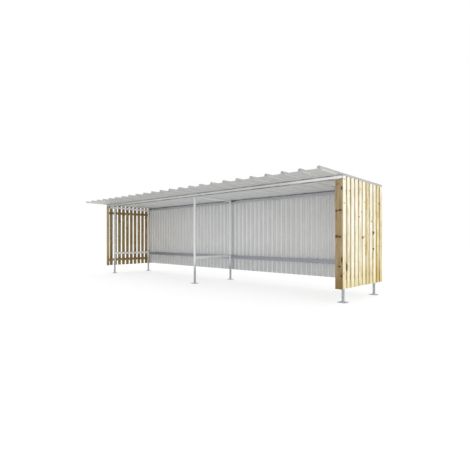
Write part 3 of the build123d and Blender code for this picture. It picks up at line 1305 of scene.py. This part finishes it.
class SHELTER_OT_wall_fixings(bpy.types.Operator):
    """Nail the slats and corner boards, and bolt the side rails to the posts"""

    bl_idname = "shelter.wall_fixings"
    bl_label = "Wall fixings"

    def execute(self, context):
        fixings = context.scene.shelter_fixings
        margin = fixings.nail_margin
        nails = Solids()
        bolts = Solids()
        for end, side in ENDS.items():
            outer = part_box(f"side_slats_{end}")[1 if side > 0 else 0].x
            face = outer - side * fixings.nail_height
            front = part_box(f"front_board_{end}")[0].y
            for level in RAIL_LEVELS:
                rail = centre(f"side_rail_{level}_{end}")
                for start, finish in solid_spans(f"side_slats_{end}", Y_AXIS):
                    for y, lift in ((start + margin, 1), (finish - margin, -1)):
                        add_nail(nails, (face, y, rail.z + lift * margin / 2), (side, 0, 0))
                for lift in (-1, 1):
                    add_nail(nails, (rail.x, front, rail.z + lift * margin / 2), (0, -1, 0))
                for row in ROWS:
                    post = f"post_{row}_{end}"
                    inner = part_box(post)[0 if side > 0 else 1].x
                    add_nut(bolts, (inner, centre(post).y, rail.z), (-side, 0, 0))
        nails.object("nails", nail_zinc(), "galvanised_tube")
        bolts.object("rail_bolts", fixing_zinc(), "galvanised_tube")
        return {"FINISHED"}


class SHELTER_OT_stage(bpy.types.Operator):
    """Set up the pale floor, the soft light and the camera"""

    bl_idname = "shelter.stage"
    bl_label = "Stage"

    floor_half = 60.0
    floor_drop = 0.0004
    floor_roughness = 0.9
    view_reach = 240.0

    def floor_material(self, stage):
        """Pale floor that takes the shelter's shadow and is white to the camera in the open."""
        material, graph, shader = new_material("floor")
        graph.feed(shader.inputs["Base Color"], stage.floor_colour)
        shader.inputs["Roughness"].default_value = self.floor_roughness
        shader.inputs["Specular IOR Level"].default_value = 0.0
        veil = graph.add("BsdfDiffuse", {"Color": [stage.floor_shade] * 3})
        glow = graph.add("Emission", {"Color": (1, 1, 1), "Strength": stage.floor_glow})
        # Shader sockets share one name, so they are fed by their place
        lit = graph.add("AddShader", {0: veil.outputs[0], 1: glow.outputs[0]})
        choice = graph.add("MixShader", {0: graph.seen(), 1: shader.outputs[0], 2: lit.outputs[0]})
        graph.feed(material.node_tree.nodes["Material Output"].inputs["Surface"], choice.outputs[0])
        return material

    def make_floor(self, stage):
        """A wide floor just under the foot plates."""
        half = self.floor_half
        level = -self.floor_drop
        corners = [(-half, -half, level), (half, -half, level), (half, half, level), (-half, half, level)]
        mesh = bpy.data.meshes.new("floor")
        mesh.from_pydata(corners, [], [(0, 1, 2, 3)])
        mesh.materials.append(self.floor_material(stage))
        floor = bpy.data.objects.new("floor", mesh)
        bpy.context.scene.collection.objects.link(floor)

    def make_world(self, stage):
        """An even sky that is plain white where it is seen or mirrored."""
        world = bpy.data.worlds.new("studio")
        world.use_nodes = True
        graph = Graph(world.node_tree)
        background = world.node_tree.nodes["Background"]
        graph.feed(background.inputs["Color"], (1, 1, 1))
        strength = graph.spread(graph.seen(), 0.0, 1.0, stage.sky_strength, 1.0)
        graph.feed(background.inputs["Strength"], strength)
        bpy.context.scene.world = world

    def make_key(self, stage):
        """A soft sun from the right."""
        lamp = bpy.data.lights.new("key", "SUN")
        lamp.energy = stage.key_strength
        lamp.angle = stage.key_softness
        key = bpy.data.objects.new("key", lamp)
        level = math.cos(stage.key_elevation)
        right = math.sin(stage.key_azimuth) * level
        front = math.cos(stage.key_azimuth) * level
        toward = Vector((right, -front, math.sin(stage.key_elevation)))
        key.rotation_euler = toward.to_track_quat("Z", "Y").to_euler()
        bpy.context.scene.collection.objects.link(key)

    def make_camera(self, stage):
        """A level camera at the height of a seated viewer."""
        view = bpy.data.cameras.new("camera")
        view.lens = stage.camera_lens
        view.shift_y = stage.camera_rise
        view.clip_end = self.view_reach
        camera = bpy.data.objects.new("camera", view)
        camera.location = stage.camera_place
        camera.rotation_euler = (math.pi / 2, 0, stage.camera_turn)
        bpy.context.scene.collection.objects.link(camera)
        bpy.context.scene.camera = camera

    def execute(self, context):
        stage = context.scene.shelter_stage
        self.make_floor(stage)
        self.make_world(stage)
        self.make_key(stage)
        self.make_camera(stage)
        context.scene.view_settings.view_transform = "Standard"
        return {"FINISHED"}


OPERATORS = (
    SHELTER_OT_slats,
    SHELTER_OT_front_boards,
    SHELTER_OT_side_rails,
    SHELTER_OT_steel_frame,
    SHELTER_OT_welds,
    SHELTER_OT_roof,
    SHELTER_OT_back,
    SHELTER_OT_wall_fixings,
    SHELTER_OT_stage,
)


class SHELTER_PT_panel(bpy.types.Panel):
    """Lists the shelter's settings and operators"""

    bl_idname = "SHELTER_PT_panel"
    bl_label = "Bike shelter"
    bl_space_type = "VIEW_3D"
    bl_region_type = "UI"
    bl_category = "Shelter"

    def draw(self, context):
        for operator in OPERATORS:
            self.layout.operator(operator.bl_idname)
        for name, group in SETTINGS.items():
            box = self.layout.box()
            box.label(text=group.__doc__)
            for setting in group.__annotations__:
                box.prop(getattr(context.scene, name), setting)


def register():
    """Register the settings, the operators and the panel."""
    for name, group in SETTINGS.items():
        bpy.utils.register_class(group)
        setattr(bpy.types.Scene, name, PointerProperty(type=group))
    for operator in OPERATORS:
        bpy.utils.register_class(operator)
    bpy.utils.register_class(SHELTER_PT_panel)


def unregister():
    """Take everything off again, last first."""
    bpy.utils.unregister_class(SHELTER_PT_panel)
    for operator in reversed(OPERATORS):
        bpy.utils.unregister_class(operator)
    for name, group in reversed(SETTINGS.items()):
        delattr(bpy.types.Scene, name)
        bpy.utils.unregister_class(group)


def main():
    """Build every piece."""
    register()
    for operator in OPERATORS:
        area, name = operator.bl_idname.split(".")
        getattr(getattr(bpy.ops, area), name)()


if __name__ == "__main__":
    main()
